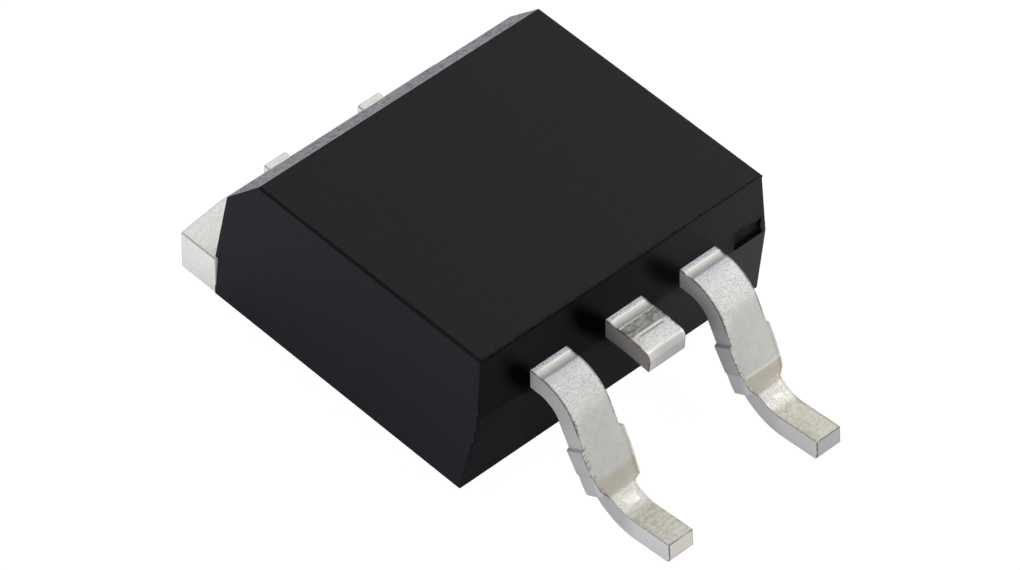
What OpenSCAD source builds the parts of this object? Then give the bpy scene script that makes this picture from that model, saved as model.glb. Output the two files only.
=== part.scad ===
// Power transistor in a surface-mount package: a moulded body on a solderable metal tab, two leads
// that are bent down to flat feet, and a centre lead that is part of the tab and is cut short.
// +X runs across the package, -Y is the lead side, +Y is the tab side and +Z is up. The origin lies
// under the middle of the whole part, in the plane that the heels of the two feet stand on.

/* [Moulded body] */
// Height from the underside to the top face
body_h = 4.5; // [4.4:0.02:4.6]
// Width at the underside, where the body is widest
body_w = 10.28; // [10.1:0.02:10.4]
// Length from the parting line of the front face to the widest point of the rear
body_l = 9.52; // [9.4:0.02:9.65]
// Height of the parting line above the underside, which is also the underside of the leads
parting_h = 2.5; // [2.4:0.02:2.6]
// Lean of both side faces, in degrees
side_draft = 4.7; // [3:0.1:6]
// Lean of the front face above the parting line, in degrees
front_draft_upper = 2.6; // [1:0.1:5]
// Lean of the front face below the parting line, in degrees
front_draft_lower = 8.5; // [5:0.1:10]
// Lean of the rear face above the top of the tab, in degrees
rear_draft_upper = 7.3; // [5:0.1:9]
// Lean of the rear face beside the tab, in degrees
rear_draft_lower = 3.6; // [2:0.1:5]
// Height and length of the slanted face along the top rear edge
rear_chamfer = 1.12; // [0.9:0.02:1.3]
// Radius of the edges round the top face
edge_r = 0.08; // [0.04:0.01:0.14]
// Width of the scar where the moulding gate was broken off
scar_w = 0.95; // [0.6:0.05:1]
// Height of the gate scar
scar_h = 0.55; // [0.3:0.05:0.7]
// Depth of the gate scar
scar_depth = 0.1; // [0.04:0.01:0.2]
// Gap from the gate scar to the side face
scar_edge = 0.12; // [0.08:0.02:0.3]

/* [Leads] */
// Distance from one lead to the next
lead_pitch = 2.54; // [2.5:0.01:2.6]
// Thickness of the lead strip
lead_t = 0.62; // [0.5:0.02:0.7]
// Width of a lead where it leaves the body
lead_w = 1.24; // [1.14:0.02:1.4]
// Width of a lead below the cut tie bar
knee_w = 1.28; // [1.22:0.02:1.44]
// Width of a foot
foot_w = 0.82; // [0.6:0.02:0.99]
// Straight run between the front face and the upper bend
lead_run = 0.32; // [0.2:0.02:0.5]
// Slope of the lead between its two bends, in degrees
lead_slope = 60; // [50:1:68]
// Inside radius of the upper bend
bend_r = 0.8; // [0.5:0.05:0.9]
// Inside radius of the lower bend
heel_r = 1.15; // [0.8:0.05:1.3]
// Straight length of a foot
foot_l = 1.24; // [1.1:0.02:1.5]
// Lift of the toe above the heel, in degrees
foot_lift = 5.5; // [1:0.5:8]
// Radius of the lower edge of a toe
toe_r = 0.15; // [0.05:0.01:0.25]
// Height of the body's underside above the plane that the heels stand on
standoff = 0.25; // [0.1:0.01:0.25]
// How far the cut tie bar stands out of each side of a lead
stub_out = 0.07; // [0.04:0.01:0.1]
// Distance down the slope from the upper bend to the cut tie bar
stub_at = 0.8; // [0.5:0.05:0.9]
// Length of the cut tie bar along the lead
stub_l = 0.72; // [0.5:0.02:0.9]
// Distance down the slope from the upper bend to the shoulder
knee_at = 2.06; // [1.9:0.02:2.2]
// Length of the slanted shoulder between the knee and the foot
shoulder_l = 0.16; // [0.05:0.01:0.3]
// Distance from the front face to the coined groove on the leads
groove_at = 0.2; // [0.15:0.01:0.26]
// Width of the coined groove
groove_w = 0.3; // [0.2:0.01:0.36]
// Depth of the coined groove
groove_depth = 0.04; // [0.02:0.01:0.06]

/* [Centre lead] */
// How far the cut centre lead stands out of the front face
stump_l = 1.6; // [1.3:0.05:1.8]
// Radius of the top edge at the cut end, which the cutting tool drew down
stump_r = 0.12; // [0.05:0.01:0.2]
// Slope of the centre lead inside the body, where it rises from the tab, in degrees
joggle_slope = 65; // [60:1:70]
// Inside radius of both bends of that rise
joggle_r = 0.35; // [0.3:0.01:0.4]
// Width of the tool mark across the centre lead
mark_w = 0.9; // [0.6:0.05:1.1]
// Distance from the front face to the tool mark
mark_at = 0.88; // [0.8:0.02:1.1]
// Radius of the rounded ridge that the tool mark is
mark_r = 0.08; // [0.05:0.01:0.12]
// Height of that ridge above the lead
mark_h = 0.03; // [0.01:0.005:0.04]
// Distance from the middle of the lead to the middle of the tool mark
mark_shift = 0.06; // [0:0.01:0.15]

/* [Tab] */
// Thickness of the tab and of the header under the chip
tab_t = 1.22; // [1.14:0.02:1.3]
// Step from each side of the body in to the side of the tab
tab_step = 0.025; // [0.01:0.005:0.06]
// Length of the tab's sides behind the body
tab_l = 1.2; // [1:0.02:1.4]
// How far the middle of the tab's rear edge stands behind its corners
tab_bow = 0.18; // [0.05:0.01:0.3]
// Width of the slanted stretch at each end of the rear edge
tab_slant_w = 1.5; // [1:0.05:2]
// How far the tab reaches into the body before it narrows
tab_root = 0.12; // [0.05:0.01:0.3]
// Width of each cut tie-bar stub on the rear edge
nub_w = 0.75; // [0.5:0.01:0.9]
// Length of each stub
nub_l = 0.2; // [0.1:0.01:0.3]
// Distance between the two stubs
nub_pitch = 3.22; // [2.8:0.02:3.6]
// Width of the pad that shows in the underside
pad_w = 7.9; // [7:0.05:8.4]
// Distance from the front face to the pad
pad_at = 2.8; // [2.7:0.02:3.1]
// How far the ledge above the pad grips into the moulding
ledge_w = 0.4; // [0.25:0.01:0.45]
// Height of the ledge's underside
ledge_h = 0.5; // [0.35:0.01:0.56]
// Width and half depth of the groove that locks the moulding to the header
lock_w = 0.4; // [0.2:0.02:0.5]
// Distance from the rear of the body to that groove
lock_at = 0.8; // [0.6:0.02:1]

/* [Bond posts] */
// Width of the post at the inner end of each outer lead
post_w = 2.1; // [1.9:0.05:2.3]
// Length of a post
post_l = 1.25; // [1.2:0.01:1.4]
// Distance from the front face to a post
post_at = 0.75; // [0.7:0.01:0.8]
// Radius of the notches that lock a lead into the moulding
notch_r = 0.2; // [0.1:0.01:0.25]

/* [Chip] */
// Width of the chip
die_w = 4.4; // [3.6:0.1:5]
// Length of the chip
die_l = 3.5; // [3.2:0.1:3.9]
// Thickness of the chip
die_t = 0.25; // [0.2:0.01:0.3]
// Distance from the front face to the chip
die_at = 3.4; // [3.3:0.05:3.6]
// Thickness of the solder under the chip
solder_t = 0.05; // [0.03:0.01:0.08]
// Width of the solder that shows round the chip
solder_rim = 0.15; // [0.05:0.01:0.2]
// Distance from the middle of the chip across to the gate wire's foot
gate_pad_at = 1.4; // [1.2:0.1:1.5]
// Distance from the front edge of the chip to the gate wire's foot
gate_pad_in = 0.5; // [0.4:0.05:0.8]
// Distance from the middle of the chip across to the middle of the source wires' feet
source_pad_at = 0.9; // [0.8:0.05:1]

/* [Bond wires] */
// Diameter of the gate wire
gate_wire_d = 0.15; // [0.12:0.01:0.2]
// Diameter of each source wire
source_wire_d = 0.38; // [0.3:0.01:0.4]
// Distance between the two source wires
source_wire_gap = 0.8; // [0.7:0.02:0.9]
// Length of the pressed foot at each end of the gate wire
gate_wire_foot = 0.4; // [0.3:0.02:0.5]
// Length of the pressed foot at each end of a source wire
source_wire_foot = 0.7; // [0.5:0.02:0.8]
// Radius of the gate wire's loop
gate_loop_r = 1.8; // [1.65:0.05:2.2]
// Radius of a source wire's loop
source_loop_r = 2.6; // [2.3:0.05:3]
// How many times wider than the wire its pressed feet are
foot_spread = 1.3; // [1.2:0.05:1.5]

/* [Hidden] */
$fn = 64;

// Length that a cutting tool runs past what it cuts
over = 1;
// Angle by which a wire's arc runs on into its feet
foot_turn = 12;

// The plan of a bent strip is a list of steps: straight length, turn in degrees, inside radius.
// A turn above zero bends the strip down, and one below zero bends it up.
slope_l = (standoff + parting_h - (bend_r + heel_r + lead_t) * (1 - cos(lead_slope))) / sin(lead_slope);
lead_steps = [
    [post_at + lead_run, lead_slope, bend_r],
    [slope_l, -lead_slope - foot_lift, heel_r],
    [foot_l, 0, 0]
];
// A length that no point of a lead reaches beyond, counted from its upper bend
lead_far = post_at + lead_run + slope_l + foot_l + 2 * (bend_r + heel_r);

// The rise of the centre lead from the header up to the level of the other leads
joggle_rise = parting_h - tab_t + lead_t;
joggle_l = (joggle_rise - (2 * joggle_r + lead_t) * (1 - cos(joggle_slope))) / sin(joggle_slope);
joggle_run = (2 * joggle_r + lead_t) * sin(joggle_slope) + joggle_l * cos(joggle_slope);
header_front = pad_at - ledge_w;
stump_steps = [
    [ledge_w, -joggle_slope, joggle_r],
    [joggle_l, joggle_slope, joggle_r],
    [pad_at - ledge_w - joggle_run + stump_l, 0, 0]
];

// Where a strip's lower edge is after the given number of steps: [forward, up, direction]
function walk(steps, count, at = [0, 0, 0], i = 0) =
    i >= count ? at : walk(steps, count, turned(runs(at, steps[i][0]), steps[i][1], steps[i][2]), i + 1);
function runs(at, l) = [at[0] + l * cos(at[2]), at[1] + l * sin(at[2]), at[2]];
function turned(at, turn, r) =
    let (arm = turn > 0 ? r : -r - lead_t, after = at[2] - turn)
    [at[0] + arm * (sin(at[2]) - sin(after)), at[1] + arm * (cos(after) - cos(at[2])), after];

// Reach of the toes in front of the face and of the tab behind it, which centre the part on its origin
toe = walk(lead_steps, 3, [-post_at, parting_h, 0]);
front_reach = toe[0] + toe_r * (1 - cos(foot_lift) - sin(foot_lift));
tab_corner = body_l + tab_l;
tab_end = tab_corner + tab_bow;
rear_reach = tab_end + nub_l;
face_y = (front_reach - rear_reach) / 2;

// Levels above the body's underside
die_z = tab_t + solder_t;
die_top = die_z + die_t;
post_top = parting_h + lead_t;

// Middle of the wires' feet on the chip and on the posts: [across, back from the front face]
post_mid = post_at + post_l / 2;
gate_pad = [-gate_pad_at, die_at + gate_pad_in];
gate_post = [-lead_pitch, post_mid];
source_pad = [source_pad_at, die_at + die_l / 2];
source_post = [lead_pitch, post_mid];

// Puts what is drawn from the front parting line and the underside into the part's own frame
module in_frame() {
    translate([0, face_y, standoff]) children();
}

// Stands an outline drawn as [back, up] on edge, with its thickness across the part
module across(width) {
    rotate([90, 0, 90]) linear_extrude(width, center = true) children();
}

// The same for an outline drawn as [forward, up]
module across_forward(width) {
    rotate([90, 0, -90]) linear_extrude(width, center = true) children();
}

// A convex outline: each corner is [x, y, radius]
module rounded_outline(corners) {
    n = len(corners);
    place = [for (c = corners) [c[0], c[1]]];
    before = [for (i = [0 : n - 1]) unit(place[(i + n - 1) % n] - place[i])];
    after = [for (i = [0 : n - 1]) unit(place[(i + 1) % n] - place[i])];
    half = [for (i = [0 : n - 1]) acos(before[i] * after[i]) / 2];
    polygon([
        for (i = [0 : n - 1], side = [before[i], after[i]])
            if (corners[i][2] > 0 || side == before[i])
                place[i] + side * corners[i][2] / tan(half[i])
    ]);
    for (i = [0 : n - 1])
        if (corners[i][2] > 0)
            translate(place[i] + unit(before[i] + after[i]) * corners[i][2] / sin(half[i]))
                circle(corners[i][2]);
}

function unit(v) = v / norm(v);

// The height of a bend's centre above the strip's lower edge: below it for a turn down
function bend_centre(turn, r, t) = turn > 0 ? -r : r + t;

// A bend of a strip, from a start at the origin: a ring between the planes where it starts and ends
module strip_bend(turn, r, t) {
    far = 4 * (r + t);
    translate([0, bend_centre(turn, r, t)]) intersection() {
        difference() {
            circle(r + t);
            circle(r);
        }
        translate([0, -far / 2]) square(far);
        rotate(-turn) translate([-far, -far / 2]) square(far);
    }
}

// Moves what follows to the end of one step of a strip
module after_step(step, t) {
    centre = bend_centre(step[1], step[2], t);
    translate([step[0], centre]) rotate(-step[1]) translate([0, -centre]) children();
}

// A bent strip seen from its edge, from its lower corner at the origin
module strip(steps, t, i = 0) {
    if (i < len(steps)) {
        square([steps[i][0], t]);
        if (steps[i][1] != 0) translate([steps[i][0], 0]) strip_bend(steps[i][1], steps[i][2], t);
        after_step(steps[i], t) strip(steps, t, i + 1);
    }
}

// Moves what it holds to the lower corner at the far end of a strip
module at_strip_end(steps, t, i = 0) {
    if (i < len(steps)) after_step(steps[i], t) at_strip_end(steps, t, i + 1) children();
    else children();
}

// A corner piece that leaves a round of the given radius when it is cut away at a lower right corner
module corner_cut(r) {
    difference() {
        translate([-r, -over]) square([r + over, r + over]);
        translate([-r, r]) circle(r);
    }
}

// The coined groove across the top of a lead
module coined_groove() {
    r = (groove_depth + pow(groove_w / 2, 2) / groove_depth) / 2;
    translate([0, -groove_at - groove_w / 2, post_top + r - groove_depth])
        rotate([0, 90, 0]) cylinder(r = r, h = knee_w + 2 * over, center = true);
}

// Flat outline of a lead along its slope, measured from the end of the upper bend
module lead_plan() {
    right = [
        [-lead_far, lead_w / 2],
        [stub_at, lead_w / 2],
        [stub_at, lead_w / 2 + stub_out],
        [stub_at + stub_l, lead_w / 2 + stub_out],
        [stub_at + stub_l, knee_w / 2],
        [knee_at, knee_w / 2],
        [knee_at + shoulder_l, foot_w / 2],
        [lead_far, foot_w / 2]
    ];
    polygon(concat(right, [for (i = [len(right) - 1 : -1 : 0]) [right[i][0], -right[i][1]]]));
}

// The part of an outer lead that is bent from strip, from its post to its toe
module bent_lead() {
    slope_start = walk(lead_steps, 1, [-post_at, parting_h, 0]);
    intersection() {
        across_forward(lead_w + 2 * over)
            translate([-post_at, parting_h]) difference() {
                strip(lead_steps, lead_t);
                at_strip_end(lead_steps, lead_t) corner_cut(toe_r);
            }
        rotate([90, 0, -90]) translate([slope_start[0], slope_start[1], 0]) rotate([0, 0, -lead_slope])
            rotate([90, 0, 0]) linear_extrude(2 * lead_far, center = true) lead_plan();
    }
}

// The post that the bond wires stand on, with a notch in each side of its neck
module bond_post() {
    translate([0, 0, parting_h]) linear_extrude(lead_t) difference() {
        union() {
            translate([-lead_w / 2, post_at - notch_r]) square([lead_w, 2 * notch_r]);
            translate([-post_w / 2, post_at]) square([post_w, post_l]);
        }
        for (side = [-1, 1])
            translate([side * post_w / 2, post_at + post_l / 2]) circle(notch_r);
    }
}

module outer_lead() {
    color("silver") difference() {
        union() {
            bent_lead();
            bond_post();
        }
        coined_groove();
    }
}

module gate_lead() {
    in_frame() translate([-lead_pitch, 0, 0]) outer_lead();
}

module source_lead() {
    in_frame() translate([lead_pitch, 0, 0]) outer_lead();
}

// The centre lead: it rises from the header, leaves the body like the others and is cut short
module centre_lead() {
    difference() {
        across_forward(lead_w) difference() {
            translate([-pad_at, tab_t - lead_t]) strip(stump_steps, lead_t);
            translate([stump_l, post_top]) mirror([0, 1]) corner_cut(stump_r);
        }
        coined_groove();
    }
    translate([mark_shift, -mark_at, post_top + mark_h - mark_r])
        rotate([0, 90, 0]) cylinder(r = mark_r, h = mark_w, center = true);
}

// The thick header: the pad that shows in the underside, the ledge above it and a lock groove
module header() {
    difference() {
        union() {
            translate([-pad_w / 2, pad_at, 0]) cube([pad_w, body_l - pad_at, tab_t]);
            translate([-pad_w / 2 - ledge_w, header_front, ledge_h])
                cube([pad_w + 2 * ledge_w, body_l - header_front, tab_t - ledge_h]);
        }
        translate([0, body_l - lock_at, tab_t]) rotate([45, 0, 0])
            cube([pad_w + 2 * ledge_w + 2 * over, lock_w / sqrt(2), lock_w / sqrt(2)], center = true);
    }
}

// The full-width tab behind the body, with the stubs of the two bars that held it in its frame
module rear_tab() {
    half = body_w / 2 - tab_step;
    root = body_l - tab_root;
    linear_extrude(tab_t) {
        polygon([
            [-half, root], [half, root], [half, tab_corner], [half - tab_slant_w, tab_end],
            [tab_slant_w - half, tab_end], [-half, tab_corner]
        ]);
        for (side = [-1, 1])
            translate([side * nub_pitch / 2 - nub_w / 2, tab_corner]) square([nub_w, tab_bow + nub_l]);
    }
}

module heatsink_tab() {
    color("gainsboro") in_frame() {
        header();
        rear_tab();
        centre_lead();
    }
}

module silicon_die() {
    color("slategray") in_frame() translate([-die_w / 2, die_at, die_z]) cube([die_w, die_l, die_t]);
}

module die_solder() {
    color("darkgray") in_frame() translate([-die_w / 2 - solder_rim, die_at - solder_rim, tab_t])
        cube([die_w + 2 * solder_rim, die_l + 2 * solder_rim, solder_t]);
}

// A bond wire: a round arc from the chip up and over to the post, pressed flat into a foot at each end
module bond_wire(pad, post, d, foot_l, loop_r) {
    r = d / 2;
    foot_r = r * foot_spread;
    rise = post_top - die_top;
    span = norm(post - pad);
    chord = norm([span, rise]);
    lean = atan(rise / span);
    half_turn = asin(chord / (2 * loop_r));
    drop = loop_r * cos(half_turn);
    color("lightgray") in_frame() translate([pad[0], pad[1], die_top])
        rotate([0, 0, atan2(post[1] - pad[1], post[0] - pad[0])]) difference() {
            union() {
                translate([span / 2 + drop * sin(lean), 0, rise / 2 - drop * cos(lean)])
                    rotate([90, 0, 0]) rotate([0, 0, 90 + lean - half_turn - foot_turn])
                        rotate_extrude(angle = 2 * (half_turn + foot_turn)) translate([loop_r, 0]) circle(r);
                for (at = [[0, 0], [span, rise]])
                    translate([at[0] - foot_l / 2, 0, at[1]]) rotate([0, 90, 0])
                        cylinder(r = foot_r, h = foot_l);
            }
            translate([-foot_l, -over, -over]) cube([2 * foot_l, 2 * over, over]);
            translate([span - foot_l, -over, rise - over]) cube([2 * foot_l, 2 * over, over]);
        }
}

module gate_bond_wire() {
    bond_wire(gate_pad, gate_post, gate_wire_d, gate_wire_foot, gate_loop_r);
}

module source_bond_wire(side) {
    shift = [side * source_wire_gap / 2, 0];
    bond_wire(source_pad + shift, source_post + shift, source_wire_d, source_wire_foot, source_loop_r);
}

// The solid outline of the moulding, before anything is cast into it
module moulding() {
    top_y = tan(front_draft_upper) * (body_h - parting_h);
    bottom_y = tan(front_draft_lower) * parting_h;
    slant_h = body_h - rear_chamfer;
    slant_y = body_l - tan(rear_draft_upper) * (slant_h - tab_t);
    rear_y = body_l - tan(rear_draft_lower) * tab_t;
    top_half = body_w / 2 - tan(side_draft) * body_h;
    intersection() {
        across(body_w + 2 * over) rounded_outline([
            [bottom_y, 0, 0], [rear_y, 0, 0], [body_l, tab_t, 0], [slant_y, slant_h, edge_r],
            [slant_y - rear_chamfer, body_h, edge_r], [top_y, body_h, edge_r], [0, parting_h, 0]
        ]);
        translate([0, body_l + over, 0]) rotate([90, 0, 0]) linear_extrude(body_l + 2 * over)
            rounded_outline([
                [-body_w / 2, 0, 0], [body_w / 2, 0, 0], [top_half, body_h, edge_r],
                [-top_half, body_h, edge_r]
            ]);
    }
}

// The scar on the front face, just above the parting line, where the moulding gate was broken off
module gate_scar() {
    right = body_w / 2 - tan(side_draft) * post_top - scar_edge;
    translate([right - scar_w, -over, parting_h]) cube([scar_w, over + scar_depth, scar_h]);
}

module mould_body() {
    color([0.13, 0.13, 0.14]) difference() {
        in_frame() difference() {
            moulding();
            gate_scar();
        }
        heatsink_tab();
        gate_lead();
        source_lead();
        silicon_die();
        die_solder();
        gate_bond_wire();
        source_bond_wire(-1);
        source_bond_wire(1);
    }
}

mould_body();
heatsink_tab();
gate_lead();
source_lead();
silicon_die();
die_solder();
gate_bond_wire();
source_bond_wire(-1);  // source_bond_wire_1
source_bond_wire(1);  // source_bond_wire_2
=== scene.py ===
# %% [markdown]
# A small power transistor for a circuit board. A black moulded block holds a chip, a thick metal tab
# lies under the block and sticks out behind it, and two leads step down from its front to flat feet.
# Between them a third lead is cut short. The exact solids were made first, in millimetres, and this
# script dresses them: it gives them fine edges, grain and light. The first step loads the solids as a
# frame and keeps the box that they fill, because nothing that is added may leave that box.

# %% Load the solids
import bmesh
import bpy
import numpy as np
from math import cos, pi, radians, sin
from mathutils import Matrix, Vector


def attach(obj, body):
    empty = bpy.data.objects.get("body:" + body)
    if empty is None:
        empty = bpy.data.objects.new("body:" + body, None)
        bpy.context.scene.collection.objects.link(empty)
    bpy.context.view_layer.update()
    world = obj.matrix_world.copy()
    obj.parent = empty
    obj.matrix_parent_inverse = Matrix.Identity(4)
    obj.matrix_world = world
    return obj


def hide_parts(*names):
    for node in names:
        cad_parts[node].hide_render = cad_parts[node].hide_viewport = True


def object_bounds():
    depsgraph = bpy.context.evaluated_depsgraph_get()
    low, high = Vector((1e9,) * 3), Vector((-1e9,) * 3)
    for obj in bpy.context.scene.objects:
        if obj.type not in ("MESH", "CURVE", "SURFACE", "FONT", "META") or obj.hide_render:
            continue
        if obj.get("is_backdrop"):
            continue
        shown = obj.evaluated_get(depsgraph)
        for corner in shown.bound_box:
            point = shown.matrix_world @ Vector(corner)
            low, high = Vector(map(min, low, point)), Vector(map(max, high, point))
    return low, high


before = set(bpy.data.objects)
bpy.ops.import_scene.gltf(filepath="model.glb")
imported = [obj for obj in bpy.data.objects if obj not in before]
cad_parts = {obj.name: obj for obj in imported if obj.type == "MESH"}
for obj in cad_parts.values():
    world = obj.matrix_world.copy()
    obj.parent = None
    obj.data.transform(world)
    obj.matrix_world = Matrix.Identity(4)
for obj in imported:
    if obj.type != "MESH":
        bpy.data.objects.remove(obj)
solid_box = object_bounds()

from types import SimpleNamespace
from mathutils import Matrix, Vector, noise

MM = 0.001
size_mm = [round((high - low) / MM, 2) for low, high in zip(*solid_box)]
print("solids loaded:", len(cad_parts), "box in mm:", size_mm)

# %% [markdown]
# The camera stands where the photographer's stood: in front of the part, to its left and well above
# it, with a long lens, so that edges that run away hardly come together. Its place was found by
# matching the solids' corners to the corners in the picture. A camera looks along its own -Z axis, so
# its matrix is made of its right, up and backward directions and its place.

# %% Camera
turn_deg, rise_deg, roll_deg = -44.16637, 45.84701, 1.33917
lens_mm, sensor_mm = 251.231, 36
eye = Vector((-86.6519, -88.3154, 129.189)) * MM

turn, rise, roll = radians(turn_deg), radians(rise_deg), radians(roll_deg)
back = Vector((sin(turn) * cos(rise), -cos(turn) * cos(rise), sin(rise)))
level_right = Vector((0, 0, 1)).cross(back).normalized()
level_up = back.cross(level_right)
right = level_right * cos(roll) + level_up * sin(roll)
up = level_up * cos(roll) - level_right * sin(roll)

camera = bpy.data.objects.new("camera", bpy.data.cameras.new("camera"))
camera.data.lens = lens_mm
camera.data.sensor_width = sensor_mm
camera.data.clip_start = 0.01
camera.data.clip_end = 10
camera.matrix_world = Matrix.Translation(eye) @ Matrix((right, up, back)).transposed().to_4x4()
bpy.context.scene.collection.objects.link(camera)
bpy.context.scene.camera = camera
print("camera", round(eye.length / MM), "mm from the part's origin")

# %% [markdown]
# A material is a board of nodes joined by wires. Writing it out node by node hides what it does, so a
# small class wraps one output socket and lets Python's own signs add the Math nodes: `1 - mask` makes
# a Subtract node. The reflected forms, such as `__rsub__`, are what makes a number on the left work.

# %% A wire
class Wire:
    """One output socket on a board. Sums with it add Math nodes."""

    def __init__(self, board, socket):
        self.board, self.socket = board, socket

    def sum(self, operation, a, b, clamp=False):
        return self.board.node("ShaderNodeMath", {"operation": operation, "use_clamp": clamp}, {0: a, 1: b})

    def __add__(self, other): return self.sum("ADD", self, other)
    def __radd__(self, other): return self.sum("ADD", other, self)
    def __sub__(self, other): return self.sum("SUBTRACT", self, other)
    def __rsub__(self, other): return self.sum("SUBTRACT", other, self)
    def __mul__(self, other): return self.sum("MULTIPLY", self, other)
    def __rmul__(self, other): return self.sum("MULTIPLY", other, self)

    def held(self):
        """The same number, kept between 0 and 1."""
        return self.sum("ADD", self, 0.0, clamp=True)


print("signs that a wire knows:", [n for n in vars(Wire) if n.endswith(("add__", "sub__", "mul__"))])

# %% [markdown]
# Every other node comes from one method. It takes the node's type, then its settings, which are set
# first because some of them change the sockets, and then what goes into the sockets: a wire is linked
# and a number or a colour is set. The short methods below it are the few nodes that a finish needs
# again and again. Grain is measured in the part's own frame, in millimetres, so it stays on the part
# when the part is moved.

# %% A board of nodes
class Board:
    """The nodes of one material or of the world."""

    def __init__(self, owner):
        owner.use_nodes = True
        self.tree = owner.node_tree
        self.tree.nodes.clear()

    def node(self, kind, settings=None, sockets=None, out=0):
        made = self.tree.nodes.new(kind)
        for name, value in (settings or {}).items():
            setattr(made, name, value)
        for name, value in (sockets or {}).items():
            socket = made.inputs[name]
            if isinstance(value, Wire):
                self.tree.links.new(value.socket, socket)
            else:
                socket.default_value = (*value, 1) if socket.type == "RGBA" else value
        return Wire(self, made.outputs[out]) if made.outputs else made

    def ray(self, kind):
        """1 where the light path is of that kind, such as a ray from the camera."""
        return self.node("ShaderNodeLightPath", out=kind)

    def read(self, name):
        """A number stored on the mesh, such as the distance from an edge."""
        return self.node("ShaderNodeAttribute", {"attribute_name": name}, out="Fac")

    def place(self, stretch=(1, 1, 1), shift=(0, 0, 0)):
        """Where a point is in the part's own frame, in millimetres, stretched for the grain."""
        here = self.node("ShaderNodeTexCoord", out="Object")
        scale = [s / MM for s in stretch]
        return self.node("ShaderNodeMapping", {"vector_type": "POINT"},
                         {"Vector": here, "Scale": scale, "Location": shift})

    def axis(self, letter):
        """One coordinate of the part's own frame, in millimetres."""
        return self.node("ShaderNodeSeparateXYZ", {}, {0: self.place()}, out="XYZ".index(letter))

    def noise(self, per_mm, detail=2.0, rough=0.5, stretch=(1, 1, 1), shift=(0, 0, 0)):
        return self.node("ShaderNodeTexNoise", {"noise_dimensions": "3D"},
                         {"Vector": self.place(stretch, shift), "Scale": per_mm,
                          "Detail": detail, "Roughness": rough})

    def step(self, value, low, high):
        """0 below low, 1 above high and a smooth rise between them."""
        return self.node("ShaderNodeMapRange", {"interpolation_type": "SMOOTHSTEP"},
                         {"Value": value, "From Min": low, "From Max": high})

    def band(self, value, low, high, soft):
        """1 between low and high and 0 outside them."""
        return self.step(value, low - soft, low + soft) * (1 - self.step(value, high - soft, high + soft))

    def tint(self, share, first, second):
        """A colour between two colours: share 0 gives the first and 1 the second."""
        return self.node("ShaderNodeMix", {"data_type": "RGBA", "clamp_factor": True},
                         {0: share, 6: first, 7: second}, out=2)

    def bump(self, height, depth_mm, strength, under=None):
        sockets = {"Height": height, "Distance": depth_mm * MM, "Strength": strength}
        if under is not None:
            sockets["Normal"] = under
        return self.node("ShaderNodeBump", {}, sockets)


print("short methods of a board:", [n for n in vars(Board) if not n.startswith("_")])

# %% [markdown]
# A colour is easiest to read off a picture as the code that a screen uses, but a shader reckons in
# linear light, so each code is turned into linear numbers. A finish is then a function that takes a
# board and returns what goes into the Principled shader's sockets. Where a finish also gives painted
# shade in places, a Mix Shader node blends in a plain black that has no sheen at all.

# %% Colours and finishes
def hue(code):
    """A colour as it looks on screen, such as 8a8a90, as the linear numbers that a shader takes."""
    parts = [int(code[i:i + 2], 16) / 255 for i in (0, 2, 4)]
    return tuple(p / 12.92 if p <= 0.04045 else ((p + 0.055) / 1.055) ** 2.4 for p in parts)


def finish_of(name, make):
    """A material whose shader sockets come from make(board) as a dict."""
    material = bpy.data.materials.new(name)
    board = Board(material)
    sockets = make(board)
    painted_shade = sockets.pop("Dead", None)
    shader = board.node("ShaderNodeBsdfPrincipled", {}, sockets, out="BSDF")
    if painted_shade is not None:
        black = board.node("ShaderNodeBsdfDiffuse", {}, {"Color": hue("060607")})
        shader = board.node("ShaderNodeMixShader", {}, {0: painted_shade, 1: shader, 2: black})
    board.node("ShaderNodeOutputMaterial", {}, {"Surface": shader})
    print("finish", name, "has", len(board.tree.nodes), "nodes")
    return material


def dress(piece, material):
    piece.data.materials.clear()
    piece.data.materials.append(material)


print("mid grey 808080 in linear light:", [round(part, 3) for part in hue("808080")])

# %% [markdown]
# The part was pictured on a white table and then cut out on white. Here the floor is a pale matt
# sheet. For the camera it turns into plain white, and the Light Path node tells those rays from the
# rest, so the sheet still takes the part's soft shadow and lights the part from below. In mirrors it
# glows only a little, as the sheet itself would.

# %% Floor
floor_z = solid_box[0][2]
reach = 2.0
corners = [(x, y, floor_z) for x, y in ((-reach, -reach), (reach, -reach), (reach, reach), (-reach, reach))]
floor_mesh = bpy.data.meshes.new("floor")
floor_mesh.from_pydata(corners, [], [(0, 1, 2, 3)])
floor = bpy.data.objects.new("floor", floor_mesh)
bpy.context.scene.collection.objects.link(floor)
floor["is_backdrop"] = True
mirror_share = 0.08


def shown(board):
    """1 for the camera and a small share for rays that mirror the sheet or pass through glass."""
    mirrored = board.ray("Is Glossy Ray") + board.ray("Is Transmission Ray")
    return board.ray("Is Camera Ray") + mirror_share * mirrored


paper = bpy.data.materials.new("paper")
board = Board(paper)
matt = board.node("ShaderNodeBsdfDiffuse", {}, {"Color": (0.76, 0.76, 0.76)})
glow = board.node("ShaderNodeEmission", {}, {"Color": (1, 1, 1), "Strength": 1.08})
sheet = board.node("ShaderNodeMixShader", {}, {0: shown(board) * 0.9, 1: matt, 2: glow})
board.node("ShaderNodeOutputMaterial", {}, {"Surface": sheet})
floor_mesh.materials.append(paper)
print("floor", 2 * reach, "m wide at height", round(floor_z / MM, 3), "mm")

# %% [markdown]
# The room around the part is dim and a little blue for everything but the camera, which sees white.
# It lights the part evenly from all round, so nothing falls off into pure black. A world is made of
# the same nodes as a material, with a Background node where a material has a shader.

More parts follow.
